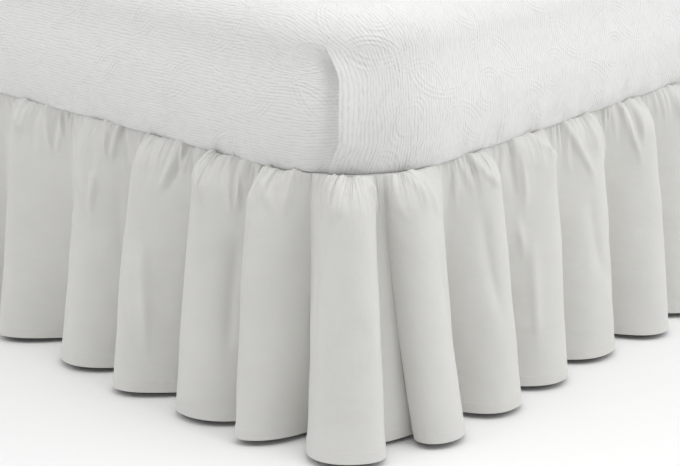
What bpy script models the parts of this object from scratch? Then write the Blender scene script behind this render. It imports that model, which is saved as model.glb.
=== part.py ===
# Ruffled bed skirt on a queen size bed: deck sheet, three gathered panels, and the bed they fit.
# Metres, +Z up. Origin at the centre of the base of the bounding box; the head of the bed is +Y.
import bpy
import bmesh
import math
import random
from collections import namedtuple

# Driving dimensions of the bed
BED_WIDTH = 1.524
BED_LENGTH = 2.032
DECK_HEIGHT = 0.381        # 15 in from the floor to the top of the box spring
FOOT_CORNER = 0.14         # plan radius of the box spring and deck at the foot
BOX_HEAD_CORNER = 0.05
DECK_HEAD_CORNER = 0.01
MATTRESS_CORNERS = (0.17, 0.12)  # plan radii at the foot and at the head
MATTRESS_THICK = 0.225
MATTRESS_PROUD = 0.008     # how far the mattress stands out past the box spring
BOX_SPRING_THICK = 0.203
BED_SHIFT = 0.0515         # the skirt flares at the foot alone, so the bed lies this far toward the head
CLEAR = 0.0003             # running gap between pieces that rest on each other

# Driving dimensions of the cloth
CLOTH = 0.002
DECK_PROUD = 0.002
SEAM_OUT = 0.0034          # middle of the ruffle's cloth where it is sewn round the deck
SHOULDER_ROLL = 0.5        # share of its roll that a fold has where it starts
CREST_OUT = 0.06           # a turn that stands further out than this at the hem is a crest
FOLD_PITCH = 0.130         # mean distance between two folds along the bed
STEPS_PER_FLANK = 4

# Driving dimensions of the steel frame
RAIL_LEG = 0.035
RAIL_THICK = 0.003
RAIL_INSET = 0.06
LEG_RADIUS = 0.015
GLIDE_RADIUS = 0.025
GLIDE_HEIGHT = 0.012
ROUND_SIDES = 12

# A turn of the cloth, a crest or a hollow, one row for each along a panel.
# at: place along the bed's outline, measured from the middle of the foot, plus toward +X
# out, shoulder: how far it stands off the box spring at the hem, and at the shoulder
# lean: how far it moves along the bed between seam and hem
# roll: length of the tangent there, so a long one is a broad round fold, a negative one curls back
Turn = namedtuple("Turn", "at out shoulder lean roll")

# A height on the ruffle: distance below the seam, share of the shoulder's and of the hem's
# flare reached there, and how much higher the crests hang than the hollows
Level = namedtuple("Level", "drop puff flare lift")

LEVELS = [
    Level(0.000, 0.00, 0.00, 0.0000),
    Level(0.012, 0.42, 0.00, 0.0110),
    Level(0.045, 1.00, 0.00, 0.0080),
    Level(0.110, 1.00, 0.22, 0.0060),
    Level(0.200, 1.00, 0.50, 0.0050),
    Level(0.375, 1.00, 1.00, 0.0030),
]

FOOT_LEFT_CORNER = [
    Turn(-0.812, 0.022, 0.008, -0.038, 0.03),
    Turn(-0.768, 0.046, 0.010, 0.000, 0.04),
    Turn(-0.728, 0.115, 0.054, 0.000, 0.13),
    Turn(-0.672, 0.020, 0.007, -0.012, 0.03),
    Turn(-0.612, 0.094, 0.050, 0.000, 0.09),
    Turn(-0.560, 0.022, 0.007, 0.000, 0.04),
]

FOOT_RIGHT_HALF = [
    Turn(0.000, 0.020, 0.007, 0.000, 0.05),
    Turn(0.078, 0.101, 0.036, 0.000, 0.10),
    Turn(0.172, 0.022, 0.007, 0.000, 0.03),
    Turn(0.248, 0.099, 0.026, 0.000, 0.15),
    Turn(0.336, 0.030, 0.008, 0.000, 0.04),
    Turn(0.379, 0.110, 0.058, 0.000, 0.12),
    Turn(0.474, 0.028, 0.008, 0.000, 0.04),
    Turn(0.520, 0.101, 0.068, 0.000, 0.18),
    Turn(0.603, 0.034, 0.008, 0.000, 0.02),
    Turn(0.626, 0.102, 0.066, 0.000, 0.06),
    Turn(0.677, 0.025, 0.008, 0.018, 0.02),
    Turn(0.722, 0.121, 0.066, 0.000, 0.14),
    Turn(0.762, 0.052, 0.012, 0.000, 0.03),
    Turn(0.812, 0.022, 0.008, 0.038, 0.04),
]

RIGHT_NEAR_FOOT = [
    Turn(0.797, 0.052, 0.015, 0.019, -0.05),
    Turn(0.819, 0.097, 0.036, 0.024, 0.09),
    Turn(0.872, 0.016, 0.007, 0.000, 0.03),
    Turn(0.944, 0.095, 0.035, 0.000, 0.13),
    Turn(0.986, 0.022, 0.007, 0.000, 0.03),
    Turn(1.070, 0.090, 0.036, 0.000, 0.10),
    Turn(1.124, 0.020, 0.007, 0.000, 0.03),
    Turn(1.207, 0.086, 0.020, 0.000, 0.13),
    Turn(1.266, 0.018, 0.007, 0.000, 0.03),
    Turn(1.336, 0.107, 0.052, 0.000, 0.10),
    Turn(1.388, 0.022, 0.007, 0.000, 0.03),
    Turn(1.464, 0.096, 0.040, 0.000, 0.10),
    Turn(1.520, 0.020, 0.007, 0.000, 0.04),
]

LEFT_NEAR_FOOT = [
    Turn(-0.797, 0.050, 0.015, -0.019, -0.04),
    Turn(-0.826, 0.094, 0.038, -0.022, 0.08),
    Turn(-0.880, 0.018, 0.007, 0.000, 0.04),
]

HALF_FOOT = BED_WIDTH / 2 - FOOT_CORNER
CORNER_RUN = FOOT_CORNER * math.pi / 2
HEAD_END = HALF_FOOT + CORNER_RUN + BED_LENGTH - FOOT_CORNER


def clear_scene():
    for item in list(bpy.data.objects):
        bpy.data.objects.remove(item, do_unlink=True)


def make_material(name, colour, roughness, metallic=0.0):
    material = bpy.data.materials.new(name)
    material.use_nodes = True
    shader = material.node_tree.nodes["Principled BSDF"]
    shader.inputs["Base Color"].default_value = (*colour, 1.0)
    shader.inputs["Roughness"].default_value = roughness
    shader.inputs["Metallic"].default_value = metallic
    return material


def add_object(name, bm, material, smooth_angle=None):
    mesh = bpy.data.meshes.new(name)
    bm.to_mesh(mesh)
    bm.free()
    mesh.materials.append(material)
    if smooth_angle is not None:
        mesh.shade_smooth()
        mesh.set_sharp_from_angle(angle=math.radians(smooth_angle))
    item = bpy.data.objects.new(name, mesh)
    bpy.context.scene.collection.objects.link(item)
    return item


def outline_frame(at):
    """Point on the box spring's outline and the way out of it there."""
    side = math.copysign(1.0, at)
    run = abs(at)
    centre_y = BED_SHIFT - BED_LENGTH / 2 + FOOT_CORNER
    if run < HALF_FOOT:
        point, normal = (run, centre_y - FOOT_CORNER), (0.0, -1.0)
    elif run < HALF_FOOT + CORNER_RUN:
        angle = (run - HALF_FOOT) / FOOT_CORNER
        normal = (math.sin(angle), -math.cos(angle))
        point = (HALF_FOOT + FOOT_CORNER * normal[0], centre_y + FOOT_CORNER * normal[1])
    else:
        point, normal = (BED_WIDTH / 2, centre_y + run - HALF_FOOT - CORNER_RUN), (1.0, 0.0)
    return (side * point[0], point[1]), (side * normal[0], normal[1])


def rule_turns(first, last, seed):
    """Turns of the folds between two hollows, as uneven as gathered cloth hangs."""
    draw = random.Random(seed)
    count = round(abs(last - first) / FOLD_PITCH)
    pitch = (last - first) / count
    turns = []
    for fold in range(count):
        crest = first + pitch * (fold + 0.5) + draw.uniform(-0.016, 0.016)
        hollow = first + pitch * (fold + 1) + draw.uniform(-0.010, 0.010)
        turns.append(Turn(crest, draw.uniform(0.084, 0.104), draw.uniform(0.024, 0.050),
                          draw.uniform(-0.008, 0.008), draw.uniform(0.09, 0.14)))
        if fold < count - 1:
            turns.append(Turn(hollow, draw.uniform(0.014, 0.030), 0.007, 0.0, draw.uniform(0.03, 0.05)))
    return turns


def turn_at_level(turn, level):
    """Place along the bed and distance off it of one turn at one height."""
    fall = level.drop / LEVELS[-1].drop
    at = turn.at - turn.lean * (1.0 - fall)
    out = SEAM_OUT + (turn.shoulder - SEAM_OUT) * level.puff + (turn.out - turn.shoulder) * level.flare
    roll = turn.roll * level.puff * (SHOULDER_ROLL + (1.0 - SHOULDER_ROLL) * level.flare)
    return at, out, roll


def flank_point(start, end, share):
    """Point between two turns on a cubic whose ends both run along the bed."""
    rise = share * share * (3.0 - 2.0 * share)
    leave = share * (1.0 - share) ** 2
    arrive = share * share * (share - 1.0)
    way = math.copysign(1.0, end[0] - start[0])
    at = start[0] + (end[0] - start[0]) * rise + way * (start[2] * leave + end[2] * arrive)
    return at, start[1] + (end[1] - start[1]) * rise, rise


def ruffle_row(turns, level):
    """World points of one height of a ruffle, end to end."""
    seam_height = DECK_HEIGHT + CLEAR + CLOTH / 2
    placed = [turn_at_level(turn, level) for turn in turns]
    crests = [1.0 if turn.out > CREST_OUT else 0.0 for turn in turns]
    points = []
    for index in range(len(turns) - 1):
        steps = STEPS_PER_FLANK + (1 if index == len(turns) - 2 else 0)
        for step in range(steps):
            at, out, rise = flank_point(placed[index], placed[index + 1], step / STEPS_PER_FLANK)
            crest_share = crests[index] + (crests[index + 1] - crests[index]) * rise
            (x, y), (nx, ny) = outline_frame(at)
            z = seam_height - level.drop + level.lift * crest_share
            points.append((x + nx * out, y + ny * out, z))
    return points


def make_ruffle(name, turns, material):
    bm = bmesh.new()
    rows = [[bm.verts.new(point) for point in ruffle_row(turns, level)] for level in LEVELS]
    for upper, lower in zip(rows, rows[1:]):
        for column in range(len(upper) - 1):
            bm.faces.new((upper[column], lower[column], lower[column + 1], upper[column + 1]))
    bmesh.ops.triangulate(bm, faces=bm.faces[:])
    item = add_object(name, bm, material, smooth_angle=60)
    thicken = item.modifiers.new("Cloth", "SOLIDIFY")
    thicken.thickness = CLOTH
    thicken.offset = 0.0
    thicken.use_even_offset = True
    return item


def bed_outline(reach, foot_radius, head_radius, steps):
    """Plan of the bed, grown by reach, with rounded corners; runs anticlockwise."""
    corners = [
        (1, -1, foot_radius, -90), (1, 1, head_radius, 0),
        (-1, 1, head_radius, 90), (-1, -1, foot_radius, 180),
    ]
    points = []
    for side_x, side_y, radius, start in corners:
        centre_x = side_x * (BED_WIDTH / 2 + reach - radius)
        centre_y = BED_SHIFT + side_y * (BED_LENGTH / 2 + reach - radius)
        for step in range(steps + 1):
            angle = math.radians(start + 90.0 * step / steps)
            points.append((centre_x + radius * math.cos(angle), centre_y + radius * math.sin(angle)))
    return points


def make_slab(name, levels, corners, material, corner_steps):
    """Closed slab whose plan grows and shrinks with height; levels are (reach, height),
    corners are the plan radii at the foot and at the head."""
    bm = bmesh.new()
    rings = []
    for reach, height in levels:
        outline = bed_outline(reach, corners[0] + reach, corners[1] + reach, corner_steps)
        rings.append([bm.verts.new((x, y, height)) for x, y in outline])
    count = len(rings[0])
    for lower, upper in zip(rings, rings[1:]):
        for index in range(count):
            after = (index + 1) % count
            bm.faces.new((lower[index], lower[after], upper[after], upper[index]))
    bm.faces.new(list(reversed(rings[0])))
    bm.faces.new(rings[-1])
    return add_object(name, bm, material, smooth_angle=35)


def rounded_levels(bottom, top, proud, lower_radius, upper_radius, steps):
    """Side profile of a cushion-like slab: (reach, height) from its base to its top."""
    levels = []
    for step in range(steps + 1):
        angle = math.radians(90.0 * step / steps)
        levels.append((proud - lower_radius * (1.0 - math.sin(angle)),
                       bottom + lower_radius * (1.0 - math.cos(angle))))
    for step in range(steps + 1):
        angle = math.radians(90.0 * step / steps)
        levels.append((proud - upper_radius * (1.0 - math.cos(angle)),
                       top - upper_radius * (1.0 - math.sin(angle))))
    return levels


def make_deck(material):
    bottom = DECK_HEIGHT + CLEAR
    levels = [(DECK_PROUD, bottom), (DECK_PROUD, bottom + CLOTH)]
    return make_slab("deck", levels, (FOOT_CORNER, DECK_HEAD_CORNER), material, 12)


def make_mattress(material):
    bottom = DECK_HEIGHT + CLEAR + CLOTH + CLEAR
    levels = rounded_levels(bottom, bottom + MATTRESS_THICK, MATTRESS_PROUD, 0.018, 0.055, 4)
    return make_slab("mattress", levels, MATTRESS_CORNERS, material, 9)


def make_box_spring(material):
    bottom = DECK_HEIGHT - BOX_SPRING_THICK
    levels = rounded_levels(bottom, DECK_HEIGHT, 0.0, 0.010, 0.008, 2)
    return make_slab("box_spring", levels, (FOOT_CORNER, BOX_HEAD_CORNER), material, 8)


def extrude_profile(name, profile, start, end, along, material):
    """Prism of a closed profile; profile points are (across, height)."""
    bm = bmesh.new()
    rings = []
    for place in (start, end):
        if along == "Y":
            ring = [bm.verts.new((across, place, height)) for across, height in profile]
        else:
            ring = [bm.verts.new((place, across, height)) for across, height in profile]
        rings.append(ring)
    count = len(profile)
    for index in range(count):
        after = (index + 1) % count
        bm.faces.new((rings[0][index], rings[0][after], rings[1][after], rings[1][index]))
    bm.faces.new(list(reversed(rings[0])))
    bm.faces.new(rings[1])
    bmesh.ops.recalc_face_normals(bm, faces=bm.faces[:])
    return add_object(name, bm, material)


def angle_profile(corner, top, inward):
    """Steel angle: flat leg on top, the other leg down from its outer corner."""
    return [
        (corner, top), (corner, top - RAIL_LEG), (corner + inward * RAIL_THICK, top - RAIL_LEG),
        (corner + inward * RAIL_THICK, top - RAIL_THICK), (corner + inward * RAIL_LEG, top - RAIL_THICK),
        (corner + inward * RAIL_LEG, top),
    ]


def make_puck(name, centre, bottom, top, radius, edge, material):
    """Upright round bar with a small chamfer at both ends."""
    bm = bmesh.new()
    rings = []
    for shrink, height in ((edge, bottom), (0.0, bottom + edge), (0.0, top - edge), (edge, top)):
        ring = []
        for side in range(ROUND_SIDES):
            angle = 2.0 * math.pi * side / ROUND_SIDES
            reach = radius - shrink
            ring.append(bm.verts.new((centre[0] + reach * math.cos(angle),
                                      centre[1] + reach * math.sin(angle), height)))
        rings.append(ring)
    for lower, upper in zip(rings, rings[1:]):
        for side in range(ROUND_SIDES):
            after = (side + 1) % ROUND_SIDES
            bm.faces.new((lower[side], lower[after], upper[after], upper[side]))
    bm.faces.new(list(reversed(rings[0])))
    bm.faces.new(rings[-1])
    return add_object(name, bm, material, smooth_angle=40)


def make_frame(steel, plastic):
    rail_top = DECK_HEIGHT - BOX_SPRING_THICK - CLEAR
    rail_x = BED_WIDTH / 2 - RAIL_INSET
    rail_end = BED_LENGTH / 2 - FOOT_CORNER
    for name, side in (("rail_right", 1), ("rail_left", -1)):
        profile = angle_profile(side * rail_x, rail_top, -side)
        extrude_profile(name, profile, BED_SHIFT - rail_end, BED_SHIFT + rail_end, "Y", steel)

    bar_top = rail_top - RAIL_THICK - CLEAR
    bar_end = rail_x - RAIL_THICK - CLEAR
    bar_places = {"bar_foot": -rail_end + 0.02, "bar_middle": 0.0, "bar_head": rail_end - 0.02 - RAIL_LEG}
    for name, place in bar_places.items():
        profile = angle_profile(BED_SHIFT + place, bar_top, 1)
        extrude_profile(name, profile, -bar_end, bar_end, "X", steel)

    leg_x = bar_end - LEG_RADIUS
    leg_places = {"foot": -rail_end + 0.10, "middle": 0.10, "head": rail_end - 0.10}
    for row, place in leg_places.items():
        for hand, side in (("right", 1), ("left", -1)):
            centre = (side * leg_x, BED_SHIFT + place)
            make_puck(f"leg_{row}_{hand}", centre, GLIDE_HEIGHT + CLEAR, bar_top, LEG_RADIUS, 0.001, steel)
            make_puck(f"glide_{row}_{hand}", centre, 0.0, GLIDE_HEIGHT, GLIDE_RADIUS, 0.002, plastic)


def main():
    clear_scene()
    skirt_cloth = make_material("skirt_cloth", (0.80, 0.79, 0.77), 0.85)
    deck_cloth = make_material("deck_cloth", (0.84, 0.84, 0.82), 0.9)
    cover = make_material("mattress_cover", (0.88, 0.88, 0.87), 0.85)
    ticking = make_material("box_spring_cloth", (0.70, 0.70, 0.69), 0.9)
    steel = make_material("frame_steel", (0.10, 0.09, 0.085), 0.5, 0.6)
    plastic = make_material("glide_plastic", (0.03, 0.03, 0.03), 0.6)

    foot_middle = rule_turns(FOOT_LEFT_CORNER[-1].at, FOOT_RIGHT_HALF[0].at, seed=3)
    make_ruffle("ruffle_foot", FOOT_LEFT_CORNER + foot_middle + FOOT_RIGHT_HALF, skirt_cloth)
    for name, near_foot, side, seed in (
        ("ruffle_right", RIGHT_NEAR_FOOT, 1, 5),
        ("ruffle_left", LEFT_NEAR_FOOT, -1, 9),
    ):
        along_side = rule_turns(near_foot[-1].at, side * HEAD_END, seed)
        head_edge = Turn(side * HEAD_END, 0.024, 0.008, 0.0, 0.05)
        make_ruffle(name, near_foot + along_side + [head_edge], skirt_cloth)
    make_deck(deck_cloth)
    make_mattress(cover)
    make_box_spring(ticking)
    make_frame(steel, plastic)


main()
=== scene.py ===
# Ruffled bed skirt on a queen size bed: the finished look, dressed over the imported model.
import math
import random
from collections import namedtuple

import bpy
import numpy as np
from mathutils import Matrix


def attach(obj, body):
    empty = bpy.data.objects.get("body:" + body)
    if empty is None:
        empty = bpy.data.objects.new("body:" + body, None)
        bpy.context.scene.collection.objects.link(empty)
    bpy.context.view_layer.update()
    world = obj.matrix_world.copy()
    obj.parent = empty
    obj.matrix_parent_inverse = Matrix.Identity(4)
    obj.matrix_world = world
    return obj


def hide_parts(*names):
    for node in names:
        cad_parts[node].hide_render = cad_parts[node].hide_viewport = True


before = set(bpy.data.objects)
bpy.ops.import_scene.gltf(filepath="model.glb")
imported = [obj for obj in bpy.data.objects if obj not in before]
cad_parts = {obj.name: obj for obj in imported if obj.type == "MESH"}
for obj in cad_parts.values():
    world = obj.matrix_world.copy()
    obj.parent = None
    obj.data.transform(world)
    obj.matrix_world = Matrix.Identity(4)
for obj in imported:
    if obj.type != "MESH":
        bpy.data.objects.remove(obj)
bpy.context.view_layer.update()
print("frame loaded:", len(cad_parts), "nodes")

bed = {
    "width": 1.524, "length": 2.032,
    "deckHeight": 0.381,        # floor to the top of the box spring
    "shift": 0.0515,            # the skirt flares at the foot alone, so the bed lies toward the head
    "clear": 0.0003,
    "solidCloth": 0.002,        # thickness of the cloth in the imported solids
    "footCorner": 0.14, "boxHeadCorner": 0.05, "deckHeadCorner": 0.01,
}
sceneCollection = bpy.context.scene.collection


# sockets, trees and materials

class Link:                     # a node's output that can be used in sums
    def __init__(self, tree, socket):
        self.tree, self.socket = tree, socket

    def math(self, operation, *values):
        return self.tree.node("ShaderNodeMath", {"operation": operation},
                              dict(enumerate((self, *values))))

    def scaled(self, by):       # a vector made longer or shorter, by a number or along each axis
        if isinstance(by, tuple):
            return self.tree.node("ShaderNodeVectorMath", {"operation": "MULTIPLY"}, {0: self, 1: by})
        return self.tree.node("ShaderNodeVectorMath", {"operation": "SCALE"}, {"Vector": self, "Scale": by})

    def out(self, name):        # another output of the same node
        return Link(self.tree, self.socket.node.outputs[name])

    def step(self, low, high, start=0.0, end=1.0):      # smooth step between two values
        return self.tree.node("ShaderNodeMapRange", {"interpolation_type": "SMOOTHSTEP"},
                              {"Value": self, "From Min": low, "From Max": high,
                               "To Min": start, "To Max": end})

    def __add__(self, other): return self.math("ADD", other)
    def __sub__(self, other): return self.math("SUBTRACT", other)
    def __mul__(self, other): return self.math("MULTIPLY", other)
    def __truediv__(self, other): return self.math("DIVIDE", other)
    def __radd__(self, other): return self.math("ADD", other)
    def __rmul__(self, other): return self.math("MULTIPLY", other)

    def __rsub__(self, other):  # a plain number at the left of a difference
        return self.tree.node("ShaderNodeMath", {"operation": "SUBTRACT"}, {0: other, 1: self})


class Tree:                     # any node tree, filled one node at a time
    def __init__(self, nodeTree):
        self.nodeTree = nodeTree

    def node(self, kind, settings=None, inputs=None, output=0):
        made = self.nodeTree.nodes.new(kind)
        for key, value in (settings or {}).items():
            setattr(made, key, value)
        for key, value in (inputs or {}).items():
            self.feed(made.inputs[key], value)
        return Link(self, made.outputs[output])

    def feed(self, socket, value):
        if isinstance(value, Link):
            self.nodeTree.links.new(value.socket, socket)
        else:
            socket.default_value = value

    def noise(self, scale, detail=2.0, rough=0.5, at=None, size="3D", **inputs):
        if at is not None:
            inputs["Vector" if size != "1D" else "W"] = at
        return self.node("ShaderNodeTexNoise", {"noise_dimensions": size},
                         {"Scale": scale, "Detail": detail, "Roughness": rough, **inputs})

    def combine(self, x, y, z):
        return self.node("ShaderNodeCombineXYZ", {}, {"X": x, "Y": y, "Z": z})

    def split(self, vector):
        parts = self.node("ShaderNodeSeparateXYZ", {}, {"Vector": vector})
        return parts, parts.out("Y"), parts.out("Z")

    def blend(self, first, second, share):              # colours go through Mix
        return self.node("ShaderNodeMix", {"data_type": "RGBA"},
                         {0: share, 6: (*first, 1.0), 7: (*second, 1.0)}, output=2)


def newMaterial(name, **constants):                     # constants go straight onto the shader
    material = bpy.data.materials.new(name)
    material.use_nodes = True
    tree = Tree(material.node_tree)
    shader = material.node_tree.nodes["Principled BSDF"]
    for key, value in constants.items():
        shader.inputs[key.replace("_", " ")].default_value = value
    return material, tree, shader


def finishMaterial(tree, shader, colour, roughness, height, strength=1.0):
    bump = tree.node("ShaderNodeBump", {}, {"Strength": strength, "Distance": 1.0, "Height": height})
    tree.feed(shader.inputs["Base Color"], colour)
    tree.feed(shader.inputs["Roughness"], roughness)
    tree.feed(shader.inputs["Normal"], bump)


def clothNoise(tree, u, v, scales, seed, detail=2.0, rough=0.5):      # noise drawn out along the cloth
    return tree.noise(1.0, detail, rough, at=tree.combine(u * scales[0], v * scales[1], seed))


def makeSkirtCloth():
    cloth = {
        "light": (0.712, 0.708, 0.680), "dark": (0.660, 0.657, 0.630),
        "toneScale": (7.0, 5.0), "roughness": 0.74, "roughnessSpread": 0.16, "bump": 0.7,
        "thread": 0.0007, "threadHeight": 0.00005,
        "warpScale": (900.0, 26.0), "weftScale": (26.0, 900.0), "slubHeight": 0.00025,
        "crumpleScale": (17.0, 27.0), "crumpleHeight": 0.0042,
        "pleatScale": (62.0, 9.0), "pleatHeight": 0.0058,   # finest gathers below the seam
        "pleatReach": 0.075, "reachScale": (30.0, 0.0),
    }
    material, tree, shader = newMaterial("skirtCloth", Sheen_Weight=0.25, Sheen_Roughness=0.45)
    u, v, _ = tree.split(tree.node("ShaderNodeUVMap", {"uv_map": "cloth"}))
    turn = 2.0 * math.pi / cloth["thread"]
    weave = (u * turn).math("SINE") * (v * turn).math("SINE")
    warpSlub = clothNoise(tree, u, v, cloth["warpScale"], 0.0, rough=0.6)
    weftSlub = clothNoise(tree, u, v, cloth["weftScale"], 7.0, rough=0.6)
    crumple = clothNoise(tree, u, v, cloth["crumpleScale"], 3.0)
    tone = clothNoise(tree, u, v, cloth["toneScale"], 1.0, detail=3.0, rough=0.6)
    share = tone.step(0.25, 0.65) * 0.6 + warpSlub * 0.2 + weftSlub * 0.2
    height = weave * cloth["threadHeight"] + (warpSlub + weftSlub) * cloth["slubHeight"]
    height = height + crumple * cloth["crumpleHeight"]
    fine = clothNoise(tree, u, v, cloth["pleatScale"], 5.0, detail=1.0)
    reach = clothNoise(tree, u, v, cloth["reachScale"], 8.0, detail=1.0).step(0.3, 0.7, 0.35, 1.0)
    ridged = 1.0 - ((fine - 0.5) * 3.0).math("ABSOLUTE")
    height = height + ridged * (1.0 - (v / reach).step(0.002, cloth["pleatReach"])) * cloth["pleatHeight"]
    finishMaterial(tree, shader, tree.blend(cloth["dark"], cloth["light"], share),
                   cloth["roughness"] + warpSlub * cloth["roughnessSpread"], height, cloth["bump"])
    return material


def makeCoverCloth():
    cover = {
        "light": (0.81, 0.81, 0.798), "dark": (0.69, 0.69, 0.680),
        "roughness": 0.80, "roughnessSpread": 0.12, "bump": 0.8,
        "ribPitch": 0.0045, "ribHeight": 0.00032, "faintScale": (34.0, 34.0),
        "driftScale": (16.0, 30.0), "ribDrift": 0.010,      # how far the ribs wander
        "crinkleScale": (75.0, 330.0), "crinkleHeight": 0.0020,
        "ringPitch": 0.16, "ringRadius": 0.44, "ringWidth": 0.013, "ringHeight": 0.0015,
        "cordStep": 0.036, "eyeRadius": 0.15, "patchScale": (22.0, 22.0),
        "puckerScale": (46.0, 46.0, 15.0), "puckerHeight": 0.0060, "puckerFrom": 0.006, "puckerTo": 0.075,
    }
    material, tree, shader = newMaterial("coverCloth", Sheen_Weight=0.2, Sheen_Roughness=0.5)
    u, v, _ = tree.split(tree.node("ShaderNodeUVMap", {"uv_map": "cloth"}))
    drift = clothNoise(tree, u, v, cover["driftScale"], 0.0)
    ripple = clothNoise(tree, u, v, cover["crinkleScale"], 4.0, rough=0.6)
    patchy = clothNoise(tree, u, v, cover["patchScale"], 9.0).step(0.3, 0.7)
    faint = clothNoise(tree, u, v, cover["faintScale"], 2.0).step(0.3, 0.7, 0.45, 1.0)
    turn = 2.0 * math.pi / cover["ribPitch"]
    rib = ((v + drift * cover["ribDrift"]) * turn).math("SINE") * 0.5 + 0.5

    def ring(shift, radius):    # distance from the nearest circle of a square lattice
        x = (u / cover["ringPitch"] + shift).math("FRACT") - 0.5
        y = (v / cover["ringPitch"] + shift).math("FRACT") - 0.5
        away = ((x * x + y * y).math("SQRT") - radius).math("ABSOLUTE")
        beside = (away - cover["cordStep"]).math("ABSOLUTE")        # three cords side by side
        return away.math("MINIMUM", beside)

    line = ring(0.0, cover["ringRadius"]).math("MINIMUM", ring(0.5, cover["ringRadius"]))
    line = line.math("MINIMUM", ring(0.0, cover["eyeRadius"]))
    raised = (1.0 - line.step(cover["ringWidth"] * 0.4, cover["ringWidth"])) * (patchy * 0.75 + 0.25)
    strength = 1.0 - raised * 0.7
    height = (rib * cover["ribHeight"] * faint + ripple * cover["crinkleHeight"]) * strength
    height = height + raised * cover["ringHeight"]
    place = tree.node("ShaderNodeTexCoord").out("Object")
    lowFrom, lowTo = (bed["deckHeight"] + cover[key] for key in ("puckerFrom", "puckerTo"))
    lowEdge = 1.0 - tree.split(place)[2].step(lowFrom, lowTo)
    pucker = tree.noise(1.0, 2.0, 0.55, at=place.scaled(cover["puckerScale"]))
    height = height + pucker * lowEdge * cover["puckerHeight"]
    # the colour follows the relief, darker where the ribs and crinkles dip: painted shade in their grooves
    # and troughs
    tone = rib * 0.4 + ripple * 0.6
    finishMaterial(tree, shader, tree.blend(cover["dark"], cover["light"], tone.step(0.1, 0.6)),
                   cover["roughness"] + ripple * cover["roughnessSpread"], height, cover["bump"])
    return material


plainWeaves = {
    "deckCloth": {
        "light": (0.84, 0.84, 0.82), "dark": (0.78, 0.78, 0.76), "thread": 0.0008, "threadHeight": 0.00006,
    },
    "springTicking": {
        "light": (0.72, 0.72, 0.70), "dark": (0.64, 0.64, 0.62), "thread": 0.0016, "threadHeight": 0.00015,
    },
}


def makePlainWeave(name):
    cloth = plainWeaves[name]
    material, tree, shader = newMaterial(name, Sheen_Weight=0.15)
    place = tree.node("ShaderNodeTexCoord").out("Object")
    x, y, z = tree.split(place)
    turn = 2.0 * math.pi / cloth["thread"]
    weave = ((x + z) * turn).math("SINE") * ((y + z) * turn).math("SINE")
    tone = tree.noise(9.0, 3.0, 0.6, at=place)
    finishMaterial(tree, shader, tree.blend(cloth["dark"], cloth["light"], tone.step(0.3, 0.7)),
                   0.8 + tone * 0.1, weave * cloth["threadHeight"] + tone * 0.0006, 0.7)
    return material


hardFinishes = {                # patches show as colour, grain as a fine unevenness
    "enamelledSteel": {
        "dark": (0.035, 0.028, 0.024), "light": (0.085, 0.072, 0.062),
        "patchScale": 14.0, "patchDetail": 4.0, "patchStep": (0.35, 0.75), "grainScale": 900.0,
        "grainHeight": 0.00012, "roughness": 0.38, "roughnessSpread": 0.25, "bump": 0.6,
    },
    "mouldedPlastic": {
        "dark": (0.018, 0.018, 0.019), "light": (0.055, 0.054, 0.052),
        "patchScale": 60.0, "patchDetail": 3.0, "patchStep": (0.45, 0.8), "grainScale": 1600.0,
        "grainHeight": 0.0001, "roughness": 0.5, "roughnessSpread": 0.2, "bump": 0.5,
    },
}


def makeHardFinish(name, metallic=None, **constants):
    finish = hardFinishes[name]
    material, tree, shader = newMaterial(name, **constants)
    place = tree.node("ShaderNodeTexCoord").out("Object")
    grain = tree.noise(finish["grainScale"], 2.0, 0.5, at=place)
    patch = tree.noise(finish["patchScale"], finish["patchDetail"], 0.6, at=place)
    if metallic:
        tree.feed(shader.inputs["Metallic"], patch.step(0.2, 0.8, *metallic))
    colour = tree.blend(finish["dark"], finish["light"], patch.step(*finish["patchStep"]))
    finishMaterial(tree, shader, colour, finish["roughness"] + patch * finish["roughnessSpread"], grain * finish["grainHeight"],
                   finish["bump"])
    return material


def makeThread():
    thread = {
        "dark": (0.72, 0.71, 0.69), "light": (0.84, 0.83, 0.81), "twistScale": 1400.0, "twistHeight": 0.0001,
    }
    material, tree, shader = newMaterial("sewingThread", Sheen_Weight=0.2)
    twist = tree.noise(thread["twistScale"], 1.0, 0.5, at=tree.node("ShaderNodeTexCoord").out("Object"))
    finishMaterial(tree, shader, tree.blend(thread["dark"], thread["light"], twist),
                   0.6 + twist * 0.2, twist * thread["twistHeight"], 0.5)
    return material


skirtCloth = makeSkirtCloth()
coverCloth = makeCoverCloth()
deckCloth = makePlainWeave("deckCloth")
ticking = makePlainWeave("springTicking")
sewingThread = makeThread()
print("materials made")


# meshes

def easeThrough(places, values, at):        # smooth curve through a table that never overshoots
    places, values = np.asarray(places, float), np.asarray(values, float)
    widths = np.diff(places)
    slopes = np.diff(values) / widths
    tangents = np.zeros(len(values))
    same = slopes[:-1] * slopes[1:] > 0
    both = np.where(same, slopes[:-1] + slopes[1:], 1.0)
    tangents[1:-1] = np.where(same, 2.0 * slopes[:-1] * slopes[1:] / both, 0.0)
    tangents[0], tangents[-1] = slopes[0], slopes[-1]
    at = np.asarray(at, float)
    spot = np.clip(np.searchsorted(places, at, side="right") - 1, 0, len(widths) - 1)
    share = np.clip((at - places[spot]) / widths[spot], 0.0, 1.0)
    leave = share * (1 - share) ** 2 * tangents[spot] * widths[spot]
    arrive = share * share * (share - 1) * tangents[spot + 1] * widths[spot]
    rise = share * share * (3 - 2 * share)
    return values[spot] + (values[spot + 1] - values[spot]) * rise + leave + arrive


def smooth(low, high, value):
    share = np.clip((np.asarray(value, float) - low) / (high - low), 0.0, 1.0)
    return share * share * (3.0 - 2.0 * share)


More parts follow.
